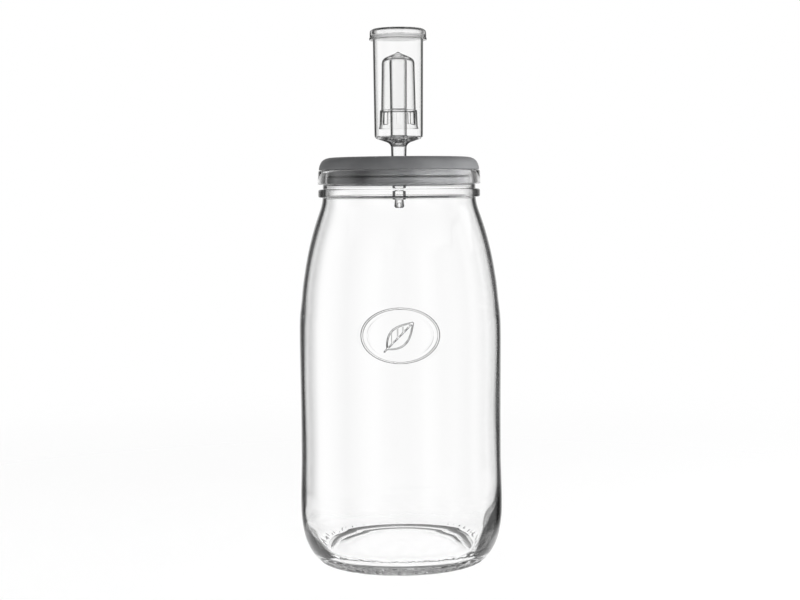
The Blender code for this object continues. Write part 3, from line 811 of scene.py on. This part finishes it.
def make_world():
    """White to the camera, the card pattern to clear pieces, and soft light to the others."""
    world = bpy.data.worlds.new("white_studio")
    bpy.context.scene.world = world
    world.use_nodes = True
    tree = world.node_tree
    tree.nodes.clear()
    output = tree.nodes.new("ShaderNodeOutputWorld")
    coordinates = tree.nodes.new("ShaderNodeTexCoord")
    parts = tree.nodes.new("ShaderNodeSeparateXYZ")
    tree.links.new(coordinates.outputs["Generated"], parts.inputs["Vector"])
    pattern = card_pattern(tree, parts)
    path = tree.nodes.new("ShaderNodeLightPath")
    either = math_node(tree, "MAXIMUM", path.outputs["Is Glossy Ray"], path.outputs["Is Transmission Ray"])
    straight = math_node(tree, "LESS_THAN", path.outputs["Diffuse Depth"], 0.5)
    through = math_node(tree, "MULTIPLY", either, straight)
    ambient = blend_range(tree, parts.outputs["X"], *AMBIENT)
    behind = blend_range(tree, parts.outputs["X"], *BEHIND)
    shaded = mix_value(tree, path.outputs["Is Transmission Ray"], ambient, behind)
    light = mix_value(tree, through, shaded, pattern)
    seen = mix_value(tree, path.outputs["Is Camera Ray"], light, 1.0)
    background = tree.nodes.new("ShaderNodeBackground")
    background.inputs["Color"].default_value = (1, 1, 1, 1)
    tree.links.new(seen, background.inputs["Strength"])
    tree.links.new(background.outputs[0], output.inputs["Surface"])


FLOOR_RADIUS = 1.2
FLOOR_SIDES = 96
FLOOR_GAP = 0.0002
# Distances from the jar between which the floor gives way to the card pattern, seen through
# clear pieces, and to the white background
CARDS_START, CARDS_END = 0.09, 0.16
FADE_START, FADE_END = 0.30, 1.0
# Share of plain white in the floor as it is seen
FLOOR_WHITE = 0.85


def make_floor():
    """Pale floor that fades into the white background away from the jar."""
    angles = [FULL_TURN * k / FLOOR_SIDES for k in range(FLOOR_SIDES)]
    points = [(0, 0, 0)] + [(FLOOR_RADIUS * math.cos(a), FLOOR_RADIUS * math.sin(a), 0) for a in angles]
    faces = [(0, 1 + k, 1 + (k + 1) % FLOOR_SIDES) for k in range(FLOOR_SIDES)]
    floor = mesh_object("floor", points, faces)
    floor.location = (0, 0, -FLOOR_GAP)
    material, tree, shader = new_material("pale_floor")
    shader.inputs["Roughness"].default_value = 0.7
    shader.inputs["Specular IOR Level"].default_value = 0.2
    place = tree.nodes.new("ShaderNodeTexCoord")
    mottle = node(tree, "ShaderNodeTexNoise", Scale=9.0, Detail=3.0)
    tones = ramp(tree, [(0.3, (0.970, 0.970, 0.970)), (0.7, (0.985, 0.985, 0.985))])
    tree.links.new(place.outputs["Object"], mottle.inputs["Vector"])
    tree.links.new(mottle.outputs["Fac"], tones.inputs["Fac"])
    tree.links.new(tones.outputs["Color"], shader.inputs["Base Color"])
    distance = node(tree, "ShaderNodeVectorMath", operation="LENGTH")
    tree.links.new(place.outputs["Object"], distance.inputs[0])
    cards = blend_range(tree, distance.outputs["Value"], CARDS_START, CARDS_END, 0.0, 1.0)
    fade = blend_range(tree, distance.outputs["Value"], FADE_START, FADE_END, 0.0, 1.0)
    path = tree.nodes.new("ShaderNodeLightPath")
    through = math_node(tree, "MAXIMUM", path.outputs["Is Glossy Ray"], path.outputs["Is Transmission Ray"])
    seen = math_node(tree, "MAXIMUM", through, path.outputs["Is Camera Ray"])
    share = math_node(tree, "MULTIPLY", seen, FLOOR_WHITE)
    white = node(tree, "ShaderNodeEmission")
    white.inputs["Color"].default_value = (1, 1, 1, 1)
    cards_away, floor_away = (tree.nodes.new("ShaderNodeBsdfTransparent").outputs[0] for _ in range(2))
    lit = mix_shader(tree, share, shader.outputs[0], white.outputs[0])
    near = mix_shader(tree, math_node(tree, "MULTIPLY", through, cards), lit, cards_away)
    faded = mix_shader(tree, fade, near, floor_away)
    tree.links.new(faded, tree.nodes["Material Output"].inputs["Surface"])
    floor.data.materials.append(material)
    return floor


def make_lamp(name, place, target, size, power, blockers):
    """A softbox whose light passes clear pieces as if they weren't there."""
    data = bpy.data.lights.new(name, "AREA")
    data.shape = "RECTANGLE"
    solid = bpy.data.collections.new(name + "_blockers")
    for item in blockers:
        solid.objects.link(item)
    data.size, data.size_y = size
    data.energy = power
    lamp = bpy.data.objects.new(name, data)
    lamp.location = place
    lamp.rotation_mode = "QUATERNION"
    direction = Vector(np.array(target) - np.array(place))
    lamp.rotation_quaternion = direction.to_track_quat("-Z", "Y")
    bpy.context.scene.collection.objects.link(lamp)
    lamp.light_linking.blocker_collection = solid
    lamp.visible_camera = False
    lamp.visible_glossy = False
    lamp.visible_transmission = False


CAMERA_PLACE = (0, -1.160, 0.257)
CAMERA_TILT = 3.87
CAMERA_ROLL = -0.46


def make_camera():
    """Camera at the photograph's place and angle."""
    data = bpy.data.cameras.new("camera")
    data.sensor_width = 36.0
    data.lens = 76.6
    data.clip_start = 0.01
    data.clip_end = 50.0
    camera = bpy.data.objects.new("camera", data)
    bpy.context.scene.collection.objects.link(camera)
    tilt = Matrix.Rotation(math.radians(90 - CAMERA_TILT), 4, "X")
    roll = Matrix.Rotation(math.radians(CAMERA_ROLL), 4, "Z")
    camera.matrix_world = Matrix.Translation(CAMERA_PLACE) @ tilt @ roll
    bpy.context.scene.camera = camera


make_world()
floor = make_floor()
LID_MIDDLE = (0, 0, 0.265)
make_lamp(
    "softbox_right", place=(0.95, -0.3, 0.34), target=LID_MIDDLE, size=(0.8, 0.7), power=18.0, blockers=(lid, floor)
)
make_lamp(
    "softbox_left", place=(-1.0, -0.25, 0.35), target=LID_MIDDLE, size=(0.6, 0.6), power=4.6, blockers=(lid, floor)
)
make_camera()

scene = bpy.context.scene
scene.view_settings.view_transform = "Standard"
scene.cycles.max_bounces = 40
scene.cycles.transmission_bounces = 40
scene.cycles.glossy_bounces = 12
scene.cycles.transparent_max_bounces = 16
